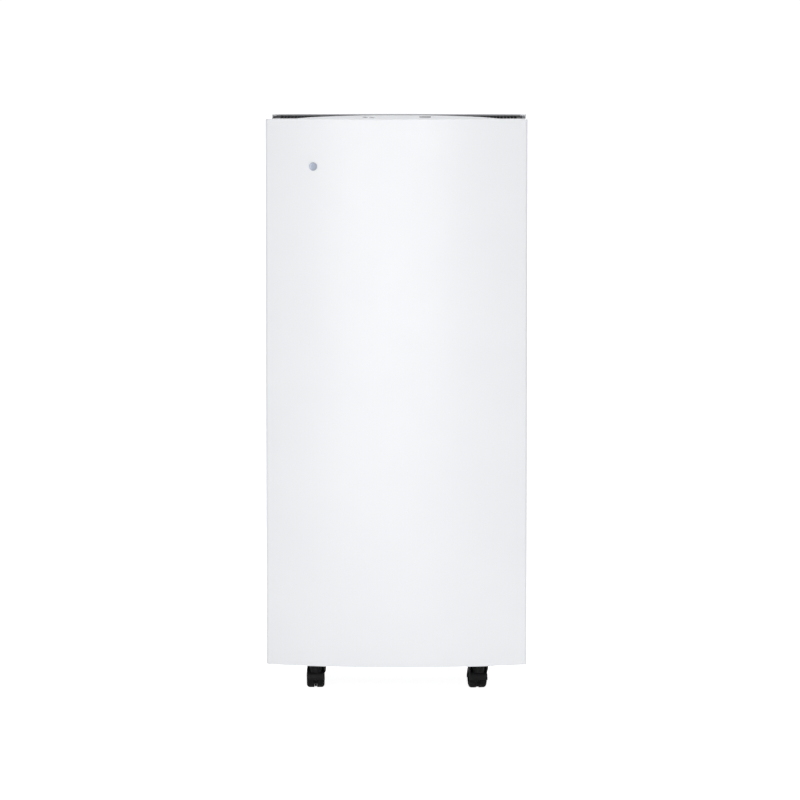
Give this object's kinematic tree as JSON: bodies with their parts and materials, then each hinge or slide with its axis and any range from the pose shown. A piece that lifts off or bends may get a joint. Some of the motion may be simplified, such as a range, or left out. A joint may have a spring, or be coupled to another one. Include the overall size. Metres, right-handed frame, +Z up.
{
  "type": "air purifier",
  "caption": "Tall room air purifier on castors, with bowed white doors front and rear over the filters, a central fan and a dark slatted outlet round a pale top console.",
  "frame": {"origin": "on the floor under the middle of the cabinet", "axes": "+Z up, -Y out of the front door, +X to the right seen from the front"},
  "size_m": [0.5, 0.42, 1.105],
  "materials": {
    "door_white": "semi-gloss white, smooth moulded and lacquered",
    "white_lacquer": "semi-gloss white powder coat on sheet steel",
    "dark_plastic": "matt near-black, fine moulded grain",
    "console_plastic": "satin pale grey",
    "zinc_sheet": "galvanised sheet with a soft spangle",
    "steel": "bright drawn steel",
    "filter_card": "pale coated card",
    "filter_paper": "white pleated filter paper",
    "felt": "dark needled felt",
    "fan_plastic": "dark glass-filled nylon",
    "board_green": "solder-masked circuit board",
    "supply_case": "grey case, grooved top",
    "badge_metal": "satin blue-grey metal",
    "castor_plastic": "black nylon",
    "smoked_window": "smoked, polished"
  },
  "bodies": {
    "cabinet": {"base_tray": "dark_plastic", "left_side_panel": "white_lacquer", "right_side_panel": "white_lacquer", "front_left_intake_grille": "dark_plastic", "front_right_intake_grille": "dark_plastic", "rear_left_intake_grille": "dark_plastic", "rear_right_intake_grille": "dark_plastic", "top_tray": "dark_plastic", "outlet_grille": "dark_plastic", "control_console": "console_plastic", "button_ring": "steel", "indicator_window": "smoked_window", "control_board": "board_green", "front_upper_hinge_bracket": "steel", "front_lower_hinge_bracket": "steel", "rear_upper_hinge_bracket": "steel", "rear_lower_hinge_bracket": "steel", "front_catch_magnet": "dark_plastic", "rear_catch_magnet": "dark_plastic", "front_lower_filter_frame": "filter_card", "front_lower_filter_pleats": "filter_paper", "front_upper_filter_frame": "filter_card", "front_upper_filter_pleats": "filter_paper", "rear_lower_filter_frame": "filter_card", "rear_lower_filter_pleats": "filter_paper", "rear_upper_filter_frame": "filter_card", "rear_upper_filter_pleats": "filter_paper", "front_partition": "zinc_sheet", "rear_partition": "zinc_sheet", "front_inlet_ring": "fan_plastic", "rear_inlet_ring": "fan_plastic", "fan_scroll": "zinc_sheet", "fan_motor": "steel", "motor_bracket": "zinc_sheet", "power_supply": "supply_case", "air_sensor": "dark_plastic", "mains_inlet": "dark_plastic"},
    "front_door": {"front_door": "door_white", "front_door_liner": "felt", "front_hinge_rod": "steel", "front_badge": "badge_metal"},
    "rear_door": {"rear_door": "door_white", "rear_door_liner": "felt", "rear_hinge_rod": "steel"},
    "power_button": {"power_button": "console_plastic"},
    "impeller": {"impeller": "fan_plastic", "motor_shaft": "steel"},
    "front_left_castor": {"front_left_castor_hood": "castor_plastic"},
    "front_left_left_wheel": {"front_left_left_wheel": "castor_plastic"},
    "front_left_right_wheel": {"front_left_right_wheel": "castor_plastic"},
    "front_right_castor": {"front_right_castor_hood": "castor_plastic"},
    "front_right_left_wheel": {"front_right_left_wheel": "castor_plastic"},
    "front_right_right_wheel": {"front_right_right_wheel": "castor_plastic"},
    "rear_left_castor": {"rear_left_castor_hood": "castor_plastic"},
    "rear_left_left_wheel": {"rear_left_left_wheel": "castor_plastic"},
    "rear_left_right_wheel": {"rear_left_right_wheel": "castor_plastic"},
    "rear_right_castor": {"rear_right_castor_hood": "castor_plastic"},
    "rear_right_left_wheel": {"rear_right_left_wheel": "castor_plastic"},
    "rear_right_right_wheel": {"rear_right_right_wheel": "castor_plastic"}
  },
  "joints": [
    {"name": "front_door_hinge", "type": "hinge", "parent": "cabinet", "child": "front_door", "pos_m": [-0.2435, -0.1555, 0.58], "axis": [0, 0, -1], "range_deg": [0, 95]},
    {"name": "rear_door_hinge", "type": "hinge", "parent": "cabinet", "child": "rear_door", "pos_m": [0.2435, 0.1555, 0.58], "axis": [0, 0, -1], "range_deg": [0, 95]},
    {"name": "power_button_press", "type": "slide", "parent": "cabinet", "child": "power_button", "axis": [0, 0, -1], "range_m": [0, 0.0015], "stiffness_N_per_m": 900},
    {"name": "impeller_spin", "type": "hinge", "parent": "cabinet", "child": "impeller", "pos_m": [0, 0, 0.42], "axis": [0, 1, 0], "continuous": true},
    {"name": "front_left_castor_swivel", "type": "hinge", "parent": "cabinet", "child": "front_left_castor", "pos_m": [-0.157, -0.1, 0.058], "axis": [0, 0, 1], "continuous": true},
    {"name": "front_left_left_wheel_roll", "type": "hinge", "parent": "front_left_castor", "child": "front_left_left_wheel", "pos_m": [-0.15784, -0.08402, 0.0206], "axis": [0.9986, 0.0523, 0], "continuous": true},
    {"name": "front_left_right_wheel_roll", "type": "hinge", "parent": "front_left_castor", "child": "front_left_right_wheel", "pos_m": [-0.15784, -0.08402, 0.0206], "axis": [0.9986, 0.0523, 0], "continuous": true},
    {"name": "front_right_castor_swivel", "type": "hinge", "parent": "cabinet", "child": "front_right_castor", "pos_m": [0.157, -0.1, 0.058], "axis": [0, 0, 1], "continuous": true},
    {"name": "front_right_left_wheel_roll", "type": "hinge", "parent": "front_right_castor", "child": "front_right_left_wheel", "pos_m": [0.15477, -0.08416, 0.0206], "axis": [0.9903, 0.1392, 0], "continuous": true},
    {"name": "front_right_right_wheel_roll", "type": "hinge", "parent": "front_right_castor", "child": "front_right_right_wheel", "pos_m": [0.15477, -0.08416, 0.0206], "axis": [0.9903, 0.1392, 0], "continuous": true},
    {"name": "rear_left_castor_swivel", "type": "hinge", "parent": "cabinet", "child": "rear_left_castor", "pos_m": [-0.16, 0.1, 0.058], "axis": [0, 0, 1], "continuous": true},
    {"name": "rear_left_left_wheel_roll", "type": "hinge", "parent": "rear_left_castor", "child": "rear_left_left_wheel", "pos_m": [-0.16112, 0.11596, 0.0206], "axis": [0.9976, 0.0698, 0], "continuous": true},
    {"name": "rear_left_right_wheel_roll", "type": "hinge", "parent": "rear_left_castor", "child": "rear_left_right_wheel", "pos_m": [-0.16112, 0.11596, 0.0206], "axis": [0.9976, 0.0698, 0], "continuous": true},
    {"name": "rear_right_castor_swivel", "type": "hinge", "parent": "cabinet", "child": "rear_right_castor", "pos_m": [0.16, 0.1, 0.058], "axis": [0, 0, 1], "continuous": true},
    {"name": "rear_right_left_wheel_roll", "type": "hinge", "parent": "rear_right_castor", "child": "rear_right_left_wheel", "pos_m": [0.15777, 0.11584, 0.0206], "axis": [0.9903, 0.1392, 0], "continuous": true},
    {"name": "rear_right_right_wheel_roll", "type": "hinge", "parent": "rear_right_castor", "child": "rear_right_right_wheel", "pos_m": [0.15777, 0.11584, 0.0206], "axis": [0.9903, 0.1392, 0], "continuous": true}
  ]
}
